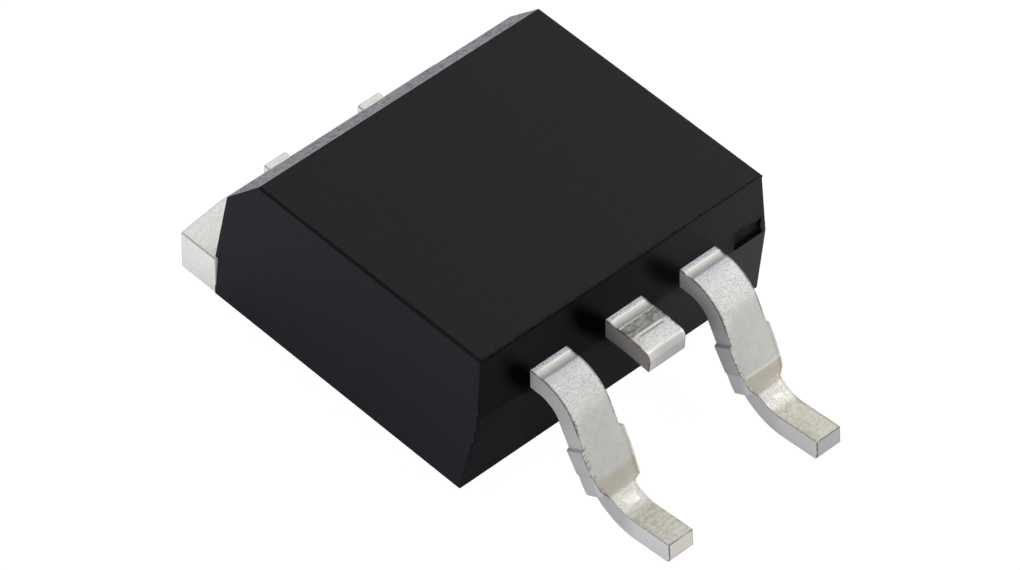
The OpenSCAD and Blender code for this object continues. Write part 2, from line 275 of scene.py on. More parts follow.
# %% World
world = bpy.data.worlds.new("studio")
bpy.context.scene.world = world
board = Board(world)
dim = board.node("ShaderNodeBackground", {}, {"Color": (0.88, 0.93, 1), "Strength": 0.40})
white = board.node("ShaderNodeBackground", {}, {"Color": (1, 1, 1), "Strength": 1.0})
sky = board.node("ShaderNodeMixShader", {}, {0: shown(board), 1: dim, 2: white})
board.node("ShaderNodeOutputWorld", {}, {"Surface": sky})
bpy.context.scene.view_settings.view_transform = "Standard"
print("world has", len(board.tree.nodes), "nodes")

# %% [markdown]
# The lamps are large soft squares. The key lamp hangs high on the right in front, where the bright
# spots on the bends of the leads mirror it, and the left sides stay in shade. Two lamps on the far
# right and behind light the slanted face, whose pale sheen is also painted into its colour. A wide
# cool lamp on the left fills the long left side.
# Each lamp is given by a direction from the part, because that is what one sees in a picture.

# %% Lamps
def soft_lamp(name, way, distance_mm, side_mm, watts, colour=(1, 1, 1)):
    """A square lamp in the given direction from the part, turned towards it."""
    lamp = bpy.data.lights.new(name, "AREA")
    lamp.shape, lamp.size = "SQUARE", side_mm * MM
    lamp.energy, lamp.color = watts, colour
    made = bpy.data.objects.new(name, lamp)
    way = Vector(way).normalized()
    facing = way.to_track_quat("Z", "Y").to_matrix().to_4x4()
    made.matrix_world = Matrix.Translation(way * distance_mm * MM) @ facing
    bpy.context.scene.collection.objects.link(made)
    print("lamp", name, "is", side_mm, "mm wide and", distance_mm, "mm away")


soft_lamp("key_lamp", (0.50, -0.08, 0.86), 170, 55, 0.05, (1, 0.985, 0.96))
soft_lamp("far_right_lamp", (0.80, 0.42, 0.42), 180, 60, 0.08)
soft_lamp("near_right_lamp", (0.90, -0.27, 0.34), 38, 14, 0.0044, (1, 0.98, 0.95))
soft_lamp("back_lamp", (0.25, 0.75, 0.62), 180, 110, 0.04)
soft_lamp("fill_lamp", (-0.93, -0.12, 0.35), 180, 100, 0.15, (0.94, 0.95, 1))

# %% [markdown]
# The moulding's solid already has the right form. A block modelled by hand would only come near it, so
# its mesh is copied, its split corners are joined and its flat areas become single faces. That leaves
# a clean mesh with few edges, on which rounding and cutting work as they would on a mesh made by hand.

# %% Copy of a solid
def copied_mesh(node):
    """A solid's mesh as one closed skin, with its flat areas joined into single faces."""
    shell = bmesh.new()
    shell.from_mesh(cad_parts[node].data)
    bmesh.ops.remove_doubles(shell, verts=shell.verts, dist=0.0002 * MM)
    bmesh.ops.dissolve_limit(shell, angle_limit=radians(0.3), verts=shell.verts, edges=shell.edges)
    shell.normal_update()
    return shell


shell = copied_mesh("mould_body")
print("moulding's solid:", len(shell.faces), "faces,", len(shell.edges), "edges")

# %% [markdown]
# Outer edges of a real moulding are never knife-sharp, and a small round there catches light. The
# bevel tool makes it, but only on edges of the outside: those whose two faces each have the whole
# block behind them. The edges against the leads and the tab stay sharp, so that no gap opens there.

# %% Which edges are rounded or stay crisp
flush_mm = 0.002


def steeper(edge, degrees):
    return len(edge.link_faces) == 2 and edge.calc_face_angle(0) > radians(degrees)


def outer_edges(shell, least_deg):
    """The sharp edges between faces that nothing of the solid stands in front of."""
    points = np.array([v.co for v in shell.verts])
    outside = set()
    for face in shell.faces:
        way = np.array(face.normal)
        if (points @ way).max() - points[face.verts[0].index] @ way < flush_mm * MM:
            outside.add(face.index)
    return [e for e in shell.edges
            if steeper(e, least_deg) and e.is_convex and all(f.index in outside for f in e.link_faces)]


print("outer edges of the moulding:", len(outer_edges(shell, 25)))

# %% [markdown] A finished mesh becomes a piece in the same few steps each time, so they are one
# function. Faces are shaded smooth and only steep edges are marked sharp. Blender's tools can leave
# the same faces in another order in the next run, so corners and faces are sorted by where they are,
# along a slanted direction in which no two are level.

# %% From a mesh to a piece
sort_way = Vector((1.0, 7.31, 61.7))


def piece_from(name, shell, crisp=lambda edge: steeper(edge, 35)):
    """Turns a mesh that is being worked on into a piece that rides on the part."""
    bmesh.ops.triangulate(shell, faces=[f for f in shell.faces if len(f.verts) > 4])
    shell.verts.sort(key=lambda v: v.co.dot(sort_way))
    shell.faces.sort(key=lambda f: f.calc_center_median().dot(sort_way))
    for face in shell.faces:
        face.smooth = True
    for edge in shell.edges:
        edge.smooth = not crisp(edge)
    mesh = bpy.data.meshes.new(name)
    shell.to_mesh(mesh)
    shell.free()
    piece = bpy.data.objects.new(name, mesh)
    bpy.context.scene.collection.objects.link(piece)
    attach(piece, "root")
    print("piece", name, "has", sum(len(p.vertices) - 2 for p in mesh.polygons), "triangles")
    return piece


print("a piece is shaded smooth, apart from edges steeper than 35 degrees")

# %% [markdown]
# A finish has to know where it is: on the top, on the front, on the slanted face along the top rear
# edge, in the scar or on a rounded edge. Each of these is a number stored on the mesh's faces, 1 or 0,
# that the shader reads. Only the round along the top of the front has a number in between, because it
# is pitted but not dark. Faces know this better than a painted picture would, and the marks stay right
# when a size changes.

# %% Marks on the moulding
mark_names = ("rim", "slant", "scar", "top", "front")
for name in mark_names:
    shell.faces.layers.float.new(name)
marks = {name: shell.faces.layers.float[name] for name in mark_names}

rim_mm, front_rim = 0.1, 0.15
scar_low, scar_high = Vector((3.6, -3.2, 2.7)) * MM, Vector((4.9, -3.0, 3.35)) * MM
slant_way = Vector((0, 1, 1)).normalized()
for face in shell.faces:
    middle = face.calc_center_median()
    scarred = all(low < c < high for low, c, high in zip(scar_low, middle, scar_high))
    longest = max(e.calc_length() for e in face.edges)
    narrow = face.calc_area() < rim_mm * MM * longest and not scarred
    face[marks["scar"]] = float(scarred)
    face[marks["rim"]] = narrow * (front_rim if face.normal.y < -0.3 else 1.0)
    face[marks["slant"]] = float(face.normal.dot(slant_way) > 0.985)
    face[marks["top"]] = float(face.normal.z > 0.9)
    face[marks["front"]] = float(face.normal.y < -0.8)
slant_z = [v.co.z / MM for f in shell.faces if f[marks["slant"]] for v in f.verts]
slant_low, slant_high = min(slant_z), max(slant_z)
print("slanted face from", round(slant_low, 2), "to", round(slant_high, 2), "mm high")

# %% [markdown]
# The epoxy was pressed into the mould through a small gate near the right end of the front. When the
# runner is snapped off there, it leaves a dark ragged pocket. Its solid has straight sides, so here
# its walls are cut into fine squares and their corners are swayed with smooth noise, only along the
# front face and only above the parting line, which keeps the face flat and the skin closed. Plain
# noise gives the same value at the same place in every run, so the scar never changes.

# %% Ragged scar
scar_cuts, sway_from, sway_most, sways_per_mm = 9, 2.78, 0.12, 4.3
front_faces = [f for f in shell.faces if f.normal.y < -0.9 and f.normal.z > 0]
front_way = max(front_faces, key=lambda f: f.calc_area()).normal.copy()
across_face, up_the_face = Vector((1, 0, 0)), Vector((1, 0, 0)).cross(front_way)
shell.edges.index_update()
scar_edges = sorted({e for f in shell.faces if f[marks["scar"]] for e in f.edges}, key=lambda e: e.index)
bmesh.ops.subdivide_edges(shell, edges=scar_edges, cuts=scar_cuts, use_grid_fill=True)
scar_corners = {v for f in shell.faces if f[marks["scar"]] for v in f.verts}
above = [corner for corner in scar_corners if corner.co.z > sway_from * MM]
for corner in above:
    here = Vector((corner.co.x, 0, corner.co.z)) / MM * sways_per_mm
    sideways = noise.noise(here + Vector((46.2, 1.3, 0)))
    upwards = noise.noise(here + Vector((0.7, 46.2, 3.9)))
    corner.co += (across_face * sideways + up_the_face * upwards) * sway_most * MM
print("scar corners moved:", len(above))

# %% [markdown]
# Now the outer edges are rounded. Smooth shading would bend the light over a whole flat face next to
# a small round, so a Weighted Normal modifier lets the large faces decide and they stay flat. The
# parting line, where two flat faces meet at a shallow angle, is kept crisp as well.

# %% Moulding
round_mm = 0.04


def crease(edge):
    """Sharp, or a shallow bend between two flat faces, such as the parting line."""
    curved = any(f[marks["rim"]] or f[marks["scar"]] for f in edge.link_faces)
    return steeper(edge, 35) or (steeper(edge, 2) and not curved)


rim = outer_edges(shell, 25)
made = bmesh.ops.bevel(shell, geom=rim, offset=round_mm * MM, segments=3, profile=0.5, affect="EDGES")
for face in made["faces"]:
    face[marks["rim"]] = 1.0
    face[marks["slant"]] = 0.0
print("moulding:", len(rim), "outer edges rounded")

moulding = piece_from("moulding", shell, crease)
level = moulding.modifiers.new("flat_faces_stay_flat", "WEIGHTED_NORMAL")
level.keep_sharp, level.mode, level.weight = True, "FACE_AREA", 100
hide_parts("mould_body")

# %% [markdown]
# The moulding is black epoxy filled with glass powder. Its mould was spark-eroded, which leaves a fine
# even grain. The slanted face is rougher. Its pale grey is painted sheen, the grazing light from behind
# that it catches, laid over pale specks and dark blue-grey spots of grain, and this painted sheen is
# darkest along its outer edge. The colour is mixed from noises of several sizes, because one noise
# alone looks like a pattern.

# %% Painted sheen and grain of the slanted face
def painted_slant_sheen(b, z):
    speck = b.noise(30, 2, 0.6)
    blotch = b.noise(6, 3, 0.65)
    # Painted sheen over grain: pale grey specks and blue-grey blotches, paler near the top and darkest at the
    # lower edge.
    slant_sheen_and_grain = b.tint(b.step(speck, 0.38, 0.60), hue("5c5c63"), hue("b4b2b5"))
    low_down = 1 - b.step(z, slant_low, slant_high)
    slant_sheen_and_grain = b.tint(b.step(blotch + 0.12 * low_down, 0.56, 0.62) * 0.75, slant_sheen_and_grain, hue("3a3a50"))
    slant_sheen_and_grain = b.tint(b.step(z, slant_high - 0.16, slant_high - 0.04) * 0.55, slant_sheen_and_grain, hue("bab5ad"))
    return b.tint((1 - b.step(z, slant_low + 0.01, slant_low + 0.06)) * 0.7, slant_sheen_and_grain, hue("2c2c38"))


print("ash fades over", round(slant_high - slant_low, 2), "mm of height")

# %% [markdown]
# The front is given painted shade on the left, where plain black takes the place of its sheen, and
# keeps its sheen on the right. A soft patch of painted shade lies up and to the left of each lead's
# root, where the front mirrors the lead. A shader's sheen can't be switched off by its level in
# places, so the patches say how much plain black is mixed in instead.

# %% Painted shade patches on the front
lead_pitch, root_half, parting_z = 2.54, 0.62, 2.75
patches = ((-lead_pitch, -0.75), (0.0, -1.1), (lead_pitch, -1.15))


def above_parting(b, z):
    return b.step(z, parting_z - 0.05, parting_z + 0.05)


def painted_shade_patches(b, front, x, z):
    # Painted shade: plain black mixed into the front, most on the left and in a patch beside each lead's
    # root.
    left = 1 - b.step(x, -2.0, 4.2)
    painted_shade = front * left * (0.44 + 0.06 * above_parting(b, z))
    for root_x, reach_left in patches:
        left_of = x - (root_x - root_half)
        beside = b.band(left_of, reach_left, 0.1, 0.4) * b.band(z + 1.1 * left_of, 2.62, 3.45, 0.35)
        painted_shade = painted_shade + front * beside * 0.6
    return painted_shade


print("dead patches beside", len(patches), "leads,", lead_pitch, "mm apart")

# %% [markdown]
# The whole epoxy finish: a greenish black on top and a lighter bluish black on the sides, which are
# painted tints of the light each face mirrors, worn dark edges with tiny pits, a few pale chips on the
# edges near the front left corner, a brownish flash line where the mould's halves met and a painted
# sheen on the lower right of the front. Rough grain goes into Roughness and two bumps, fine over
# coarse. Metallic over black takes sheen away from the pits, because a black metal mirrors nothing.

# %% Epoxy finish
def epoxy(b):
    slant, scar, rim, top, front = [b.read(name) for name in ("slant", "scar", "rim", "top", "front")]
    x, y, z = b.axis("X"), b.axis("Y"), b.axis("Z")
    grain, fine_grain, coarse = b.noise(26, 3, 0.6), b.noise(30, 2, 0.6), b.noise(9, 2, 0.5)
    cloud, blotch = b.noise(0.5, 2, 0.5), b.noise(6, 3, 0.65)
    pits = b.step(b.noise(15, 2, 0.6), 0.55, 0.59)
    near_corner = (1 - b.step(y, -2.9, -2.2)) * (1 - b.step(x, -4.5, -3.4))
    chips = b.step(b.noise(14, 2, 0.6, shift=(3, 1, 2)), 0.66, 0.72) * near_corner
    edge_strip = b.step(rim, 0.0, front_rim) * (1 - b.step(rim, front_rim, 0.5))
    flash = b.band(z, parting_z - 0.03, parting_z + 0.03, 0.02) * (1 - scar) * front
    flash = flash * (1 - b.step(x, -4.4, -3.0))
    wander = 0.5 * (blotch - 0.5)
    halo = b.band(x + wander, 3.66, 5.3, 0.10) * b.band(z + wander, 2.80, 3.40, 0.10) * front * (1 - scar)
    # Painted reflection: the lower right of the front is lighter, standing for the bright floor it mirrors.
    painted_sheen_end = front * b.step(x, 2.6, 4.6) * (1 - above_parting(b, z))

    # Painted light: the sides are a lighter bluish black than the greenish top, the tint of the cool light
    # they mirror.
    sides = b.tint(cloud, hue("101019"), hue("131017"))
    base = b.tint(top, sides, b.tint(cloud, hue("080b07"), hue("0a0b09")))
    base = b.tint(painted_sheen_end * 0.8, base, hue("22222a"))
    base = b.tint(slant * 0.95, base, painted_slant_sheen(b, z))
    base = b.tint(flash * 0.4, base, hue("4a403a"))
    base = b.tint(edge_strip * 0.8, base, hue("131411"))
    base = b.tint(rim * 0.8, base, hue("080807"))
    base = b.tint(rim * chips * 0.6, base, hue("8d8f90"))
    base = b.tint(halo * 0.8, base, hue("050404"))
    base = b.tint(scar, base, b.tint(b.step(blotch, 0.45, 0.6), hue("050505"), hue("181211")))

    shut = (0.2 * rim + 0.9 * pits * edge_strip) * (1 - chips) + scar * 0.3 + halo * 0.7 + flash * pits * 0.8
    fine = b.bump(grain + 0.6 * fine_grain, 0.005, 0.4)
    skin = b.bump(coarse * (1 + 6 * scar) + rim * pits, 0.008, 0.4, under=fine)
    # The front's painted shade goes in as the share of plain black.
    return {"Base Color": base, "Roughness": 0.38 + 0.10 * grain + slant * 0.3 + scar * 0.2,
            "Metallic": shut.held(), "Specular IOR Level": 0.14, "Normal": skin,
            "Dead": painted_shade_patches(b, front, x, z).held()}


dress(moulding, finish_of("black_epoxy", epoxy))

# %% [markdown]
# Leads of this kind are stamped from a copper strip and then bent between dies, so a lead is a bar
# whose section stays the same while it follows a path. The path is a list of steps: a straight length,
# a turn in degrees and the turn's inside radius, all along the strip's lower edge. One function walks
# the path and tells where it is after a given length and which way it heads. It starts at the front
# face, and a negative length goes back into the moulding.

# %% Path of a strip
face_y, strip_t = -3.15912, 0.62
run_l, slope_deg, bend_r = 0.32, 60.0, 0.8
slope_l, lift_deg, heel_r = 1.6916, 5.5, 1.15
foot_l, stump_l, nothing = 1.24, 1.6, 1e-9
lead_steps = [(run_l, slope_deg, bend_r), (slope_l, -slope_deg - lift_deg, heel_r), (foot_l, 0.0, 0.0)]
stump_steps = [(stump_l, 0.0, 0.0)]


def path_point(steps, along):
    """Place [forward, up] and direction in degrees on a strip's lower edge, from the front face."""
    forward, height, heading = 0.0, parting_z, 0.0
    for straight, bend, inner in steps:
        walk = min(along, straight)
        forward += walk * cos(radians(heading))
        height -= walk * sin(radians(heading))
        along -= walk
        if along <= nothing or bend == 0:
            break
        lower_r = inner if bend > 0 else inner + strip_t
        sign = 1 if bend > 0 else -1
        arc = min(along, lower_r * radians(abs(bend)))
        after = heading + sign * arc / lower_r * 180 / pi
        forward += sign * lower_r * (sin(radians(after)) - sin(radians(heading)))
        height += sign * lower_r * (cos(radians(after)) - cos(radians(heading)))
        along -= arc
        heading = after
        if along <= nothing:
            break
    return forward, height, heading


def path_length(steps):
    return sum(s + (r if b > 0 else r + strip_t) * radians(abs(b)) for s, b, r in steps)


lead_length = path_length(lead_steps)
toe = [round(v, 3) for v in path_point(lead_steps, lead_length)]
print("lower edge of a lead:", round(lead_length, 3), "mm, toe at", toe)

# %% [markdown]
# The bar itself is a box of fine squares that is bent along the path. Only the points on its outside
# are made. They stand closer together near the edges, where the surface turns quickly, and round each
# place where the width jumps. Squares rather than long triangles keep the shading even when later
# steps push single points about.

# %% Box of fine squares
jump_mm = 0.02


def box_skin(counts):
    """Lattice points on the outside of a box of points, and the squares between them by side."""
    ids = -np.ones(counts, int)
    grid = np.stack(np.meshgrid(*[np.arange(n) for n in counts], indexing="ij"), -1)
    on_skin = np.zeros(counts, bool)
    for axis, n in enumerate(counts):
        on_skin |= (grid[..., axis] == 0) | (grid[..., axis] == n - 1)
    ids[on_skin] = np.arange(on_skin.sum())
    quads, sides = [], []
    for axis in range(3):
        for end in (0, -1):
            layer = np.take(ids, end, axis)
            a, b, c, d = layer[:-1, :-1], layer[1:, :-1], layer[1:, 1:], layer[:-1, 1:]
            corners = np.stack([a, b, c, d] if (end == -1) != (axis == 1) else [a, d, c, b], -1)
            quads.append(corners.reshape(-1, 4))
            sides += [axis] * (corners.size // 4)
    return grid[on_skin], np.concatenate(quads), np.array(sides)


def ticks(low, high, step, near=(0, 0.01, 0.03, 0.055), marks=()):
    """Places from low to high, a step apart, with closer ones near both ends and round each mark."""
    inner = np.linspace(low + near[-1], high - near[-1], max(2, round((high - low) / step)))
    close = [low + n for n in near] + [high - n for n in near]
    close += [m + d for m in marks for d in (-jump_mm, jump_mm)]
    inner = [v for v in inner if all(abs(v - c) > 0.4 * step for c in close)]
    return np.array(sorted(set(np.round(close + inner, 6))))


print("a box of 4 by 3 by 3 points has", len(box_skin((4, 3, 3))[1]), "squares")

# %% [markdown]
# A lead isn't equally wide all the way. Halfway down the slope both edges step out by 0.1 mm, where a
# tie bar between the leads was cut, and above the foot it narrows to two thirds. The two leads were
# cut and pressed a little differently, so each has its own numbers for its left and right edges,
# measured as half a width at a distance down the slope. On the left the tool also pressed in the upper
# corner of the knee.

# %% Widths of a lead
cut_half, neck_half, foot_half = 0.64, 0.425, 0.41
stub_end, knee_from, knee_to, foot_from = 1.48, 2.06, 2.22, 2.7
press_from, press_places = 0.50, (1.54, 1.9, 2.1, 2.3)
press_halves = (cut_half, 0.575, 0.46, neck_half)
slope_start = run_l + bend_r * radians(slope_deg)
slope_from = path_point(lead_steps, slope_start)
slope_way = (cos(radians(slope_deg)), -sin(radians(slope_deg)))
stub_mark = slope_start + stub_end


def half_at(forward, height, lift, part, stub, places, halves):
    """Half the lead's width on one side, at a place seen from its edge. Part is -1 on the left edge."""
    down = (forward - slope_from[0]) * slope_way[0] + (height - slope_from[1]) * slope_way[1]
    left_places = [stub[0] - jump_mm, stub[0] + jump_mm, stub[1] - jump_mm, stub[1] + jump_mm]
    left_halves = [root_half, root_half + 0.09, root_half + 0.055, cut_half, cut_half, neck_half, foot_half]
    left = np.interp(down, left_places + [knee_from, knee_to, foot_from], left_halves)
    pressed = np.interp(down, press_places, press_halves)
    near_top = np.clip((lift - press_from) / (strip_t - press_from), 0, 1)
    near_top = near_top * (down > press_places[0]) * (down < press_places[-1])
    left = left + near_top * np.minimum(0, pressed - left)
    right = np.interp(down, [stub[0] - 0.05, stub[0], *places, foot_from], [root_half, *halves, foot_half])
    return np.where(part < 0, left, right)


print("the slope starts", round(slope_start, 3), "mm along the lower edge")

# %% [markdown]
# Stamped and plated metal is soft in its forms. The bar's edges are pulled in to a small round. The
# clamp that held the strip for bending pressed a shallow groove across its top, just outside the
# moulding, and left the bent parts slightly crowned and unevenly hollow. All of this only takes metal
# away, so the lead never grows out of its solid.

# %% Rounds, groove and hollows
edge_r = 0.03
groove_mid, groove_r, groove_depth = 0.27, 0.30125, 0.04
hollows_per_mm, crown_most = 3.2, 0.10
top_z = parting_z + strip_t


def rounded(local, half, length):
    """Pulls the points near a bar's edges in to a round."""
    low = np.stack([np.full(len(half), -9.0), -half, np.zeros(len(half))], -1) + edge_r
    high = np.stack([np.full(len(half), length), half, np.full(len(half), strip_t)], -1) - edge_r
    inner = np.clip(local, low, high)
    off = local - inner
    far = np.linalg.norm(off, axis=1)
    pull = np.where(far > edge_r, edge_r / np.maximum(far, nothing), 1.0)
    return inner + off * pull[:, None]


def drawn_groove(points, local):
    """The groove that the clamp pressed across the top, just outside the moulding."""
    off = (face_y - points[:, 1]) - groove_mid
    arc = top_z + groove_r - groove_depth - np.sqrt(np.maximum(0, groove_r ** 2 - off ** 2))
    on_top = (local[:, 2] > strip_t * 0.8) & (np.abs(off) < groove_r)
    points[:, 2] = np.where(on_top, np.minimum(points[:, 2], arc), points[:, 2])
    return points


def uneven(points, local, head, seed, depth):
    """Slow hollows of a bent and plated surface and a slight crown, always drawn inwards."""
    shift = Vector((seed * 7.3, seed * 3.1, seed * 5.7))
    waves = np.array([noise.noise(Vector(p) * hollows_per_mm + shift) for p in points])
    crown = crown_most * np.clip((local[:, 0] - 1.2) / 1.5, 0.25, 1)
    sink = depth * (0.5 + 0.5 * waves) + crown * local[:, 1] ** 2
    out = np.stack([np.zeros(len(head)), -np.sin(head), np.cos(head)], -1)
    weight = np.where(local[:, 2] > strip_t - 1e-4, 1.0, np.where(local[:, 2] < 1e-4, -1.0, 0.0))
    return points - out * (sink * weight)[:, None]


print("groove", round(2 * (groove_r ** 2 - (groove_r - groove_depth) ** 2) ** 0.5, 2), "mm wide")

# %% [markdown]
# Here the parts come together. The box's points are placed along the path, across the width and up the
# thickness, then rounded and drawn. The lower end of a toe curls up a little, and the sheared end of
# the centre lead leans back at the bottom and is rounded at the top, as a blade leaves it. Each point
# also keeps how far along the lead it is, how far from an edge and how far across. The finish reads
# these, and so dirt and shine sit in the right places on a bent surface.

# %% Bent strip
inside_l, end_l, row_mm, cell_mm = 0.3, 0.35, 0.026, 0.05
lean_back, corner_back = 0.09, 0.06


def end_cut(h, c, toe_r, shear_r):
    """How far the end face lies back from the strip's full length, by height and place across."""
    if toe_r:
        return np.where(h < toe_r, toe_r - np.sqrt(np.maximum(0, toe_r ** 2 - (toe_r - h) ** 2)), 0)
    k = strip_t - h
    back = np.where(k < shear_r, shear_r - np.sqrt(np.maximum(0, shear_r ** 2 - (shear_r - k) ** 2)), 0)
    corner = corner_back * np.clip((c - 0.7) / 0.3, 0, 1) ** 2 * h / strip_t
    return back + lean_back * k / strip_t + corner


def strip_mesh(steps, centre_x, width_at, draw, toe_r=0.0, shear_r=0.0, marks=()):
    """A bar bent along its path, as points in millimetres, squares, sides and what the shader reads."""
    length = path_length(steps)
    s_at = ticks(-inside_l, length, row_mm, marks=marks)
    c_at = ticks(-root_half, root_half, cell_mm) / root_half
    h_at = ticks(0, strip_t, cell_mm, near=(0, 0.01, 0.03, 0.06, 0.1, 0.15))
    lattice, quads, sides = box_skin((len(s_at), len(c_at), len(h_at)))
    s, c, h = s_at[lattice[:, 0]], c_at[lattice[:, 1]], h_at[lattice[:, 2]]
    path = {v: path_point(steps, v) for v in s_at}
    start = np.array([path[v] for v in s])
    head = np.radians(start[:, 2])
    half = width_at(start[:, 0] + h * np.sin(head), start[:, 1] + h * np.cos(head), h, c)
    gaps = np.stack([half - np.abs(c) * half, np.minimum(h, strip_t - h), length - s], -1)
    edges = np.sort(gaps, 1)[:, 1]
    if shear_r:
        edges = np.where((strip_t - h < shear_r) & (s > length - 0.3), 1.0, edges)
    pulled = s - end_cut(h, c, toe_r, shear_r) * np.clip((s - (length - end_l)) / end_l, 0, 1)
    local = rounded(np.stack([pulled, c * half, h], -1), half, length)
    place = np.array([path_point(steps, v) for v in local[:, 0]])
    head = np.radians(place[:, 2])
    points = np.stack([centre_x + local[:, 1],
                       face_y - (place[:, 0] + local[:, 2] * np.sin(head)),
                       place[:, 1] + local[:, 2] * np.cos(head)], -1)
    return draw(points, local, head), quads, sides, {"run": pulled, "edge": edges, "across": local[:, 1]}


print("a lead has", len(ticks(-inside_l, lead_length, row_mm)), "rows of points along its path")

# %% [markdown]
# Numbers in arrays become a mesh in one call, and every array goes along as an attribute of the same
# name. The part of a lead that lies inside the moulding can't be seen, so it is taken from the solid
# as it is, cut off just behind the front face. Cutting both at the same place would leave a gap when
# one of them moves, so they overlap by a quarter of a millimetre inside the black block.

# %% Strip and inner part as one mesh
cut_behind, inner_round = 0.25, 0.035


def store(mesh, name, domain, numbers):
    mesh.attributes.new(name, "FLOAT", domain).data.foreach_set("value", np.asarray(numbers, np.float32))


def strip_shell(points, quads, sides, values, stump=0.0):
    """The strip as a mesh to work on, with its values stored on its points and its flanks marked."""
    mesh = bpy.data.meshes.new("strip")
    mesh.from_pydata((points * MM).tolist(), [], quads.tolist())
    for name, numbers in values.items():
        store(mesh, name, "POINT", numbers)
    store(mesh, "flank", "FACE", sides != 2)
    store(mesh, "toe", "FACE", sides == 0)
    store(mesh, "stump", "FACE", np.full(len(sides), stump))
    shell = bmesh.new()
    shell.from_mesh(mesh)
    bpy.data.meshes.remove(mesh)
    bmesh.ops.recalc_face_normals(shell, faces=shell.faces)
    return shell


def with_inner_part(shell, node):
    """Adds the part of the solid that lies inside the moulding, with its own edges rounded."""
    inner = copied_mesh(node)
    cut = bmesh.ops.bisect_plane(inner, geom=inner.verts[:] + inner.edges[:] + inner.faces[:],
                                 plane_co=(0, (face_y + cut_behind) * MM, 0), plane_no=(0, -1, 0),
                                 clear_outer=True)
    bmesh.ops.holes_fill(inner, edges=[g for g in cut["geom_cut"] if isinstance(g, bmesh.types.BMEdge)])
    sharp = [e for e in inner.edges if steeper(e, 30) and e.is_convex]
    worn = inner.faces.layers.float.new("worn")
    made = bmesh.ops.bevel(inner, geom=sharp, offset=inner_round * MM, segments=2, profile=0.5,
                            affect="EDGES")
    for face in made["faces"]:
        face[worn] = 1.0
    mesh = bpy.data.meshes.new("inner")
    inner.to_mesh(mesh)
    inner.free()
    for name, number in (("run", -1.0), ("edge", 1.0), ("across", 0.0)):
        store(mesh, name, "POINT", np.full(len(mesh.vertices), number))
    store(mesh, "flank", "FACE", [abs(p.normal.z) < 0.5 for p in mesh.polygons])
    for name in ("toe", "stump"):
        store(mesh, name, "FACE", np.zeros(len(mesh.polygons)))
    shell.from_mesh(mesh)
    bpy.data.meshes.remove(mesh)
    return shell


print("a lead is cut from its solid", cut_behind, "mm behind the front face")

# %% [markdown]
# The two outer leads carry the gate and the source. They share everything but their place, their
# seed for the hollows and the numbers of their edges. The stub is where the tie bar was cut, as two
# distances down the slope, and the knee lists places and half widths on the right edge.

# %% Outer leads
toe_curl_r, lead_hollow = 0.15, 0.012
lead_forms = {
    "gate_lead": {"x": -lead_pitch, "seed": 1, "stub": (0.74, stub_end),
                  "places": [1.3, 1.95, 2.05, 2.12, 2.20],
                  "halves": [0.74, 0.75, 0.70, 0.67, 0.46, neck_half]},
    "source_lead": {"x": lead_pitch, "seed": 2, "stub": (0.66, stub_end),
                    "places": [1.1, 1.5, 1.72, 1.84, 2.02, 2.14],
                    "halves": [0.69, 0.70, 0.68, 0.66, 0.64, 0.47, 0.43]}}
tin_pieces = []
for node, form in lead_forms.items():
    def draw(points, local, head):
        return uneven(drawn_groove(points, local), local, head, form["seed"], lead_hollow)

    def width(forward, height, lift, part):
        return half_at(forward, height, lift, part, form["stub"], form["places"], form["halves"])

    jumps = [slope_start + place for place in form["stub"]]
    made = strip_mesh(lead_steps, form["x"], width, draw, toe_r=toe_curl_r, marks=jumps)
    lead = piece_from(node + "_strip", with_inner_part(strip_shell(*made), node))
    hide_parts(node)
    tin_pieces.append(lead)

# %% [markdown]
# The tab is the carrier of the chip and sticks out behind the block. It is one piece of copper with
# the centre lead, which is joined to it inside and cut off short in front, because the board takes its
# current from the tab. The blade that cut it pressed its end down a little and left a low ridge across
# its top, which is raised here with a small round bar's profile that fades out at both ends.

# %% Tab and centre lead
ridge_x, ridge_half, ridge_at, ridge_r, ridge_up = -0.03, 0.45, 0.88, 0.08, 0.03
ridge_fade, stump_hollow, shear_r = 0.06, 0.008, 0.22
sag, sag_from, sag_l = 0.08, 0.5, 1.1


def drawn_stump(points, local, head):
    points = drawn_groove(points, local)
    bow = ridge_r ** 2 - ((face_y - points[:, 1]) - ridge_at) ** 2
    ridge = ridge_up - ridge_r + np.sqrt(np.maximum(0, bow))
    fade = np.clip((ridge_half - np.abs(points[:, 0] - ridge_x)) / ridge_fade, 0, 1)
    on_top = (local[:, 2] > strip_t * 0.9) & (bow > 0)
    points[:, 2] = np.where(on_top, np.maximum(points[:, 2], top_z + ridge * fade), points[:, 2])
    points = uneven(points, local, head, seed=3, depth=stump_hollow)
    points[:, 2] -= sag * np.clip((local[:, 0] - sag_from) / sag_l, 0, 1) ** 1.5
    return points


def stump_width(forward, height, lift, part):
    return np.full(len(forward), root_half)


made = strip_mesh(stump_steps, 0.0, stump_width, drawn_stump, shear_r=shear_r)
tab = piece_from("tab_with_centre_lead", with_inner_part(strip_shell(*made, stump=1.0), "heatsink_tab"))
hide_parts("heatsink_tab")
tin_pieces.append(tab)

# %% [markdown]
# Matt tin is a grey-white metal with a very fine grain. One finish serves the leads and the tab, and
# what differs from place to place is a mask between 0 and 1. The masks come from the numbers that the
# mesh carries: `run` is the way along a lead, so a band of it is a strip across the lead that follows
# every bend. First come the noises that all masks and colours share.

# %% Grains of the tin
def tin_grains(b):
    return SimpleNamespace(
        grain=b.noise(20, 3, 0.6), fleck=b.noise(34, 2, 0.5),
        crinkle=b.noise(34, 3, 0.7, stretch=(0.38, 1, 1)),
        streak=b.noise(12, 3, 0.65, stretch=(0.45, 1, 1)), mottle=b.noise(6, 3, 0.6),
        cloud=b.noise(1.6, 3, 0.55), dent=b.noise(9, 3, 0.6, stretch=(0.6, 1, 1), shift=(1.3, 0, 0)))


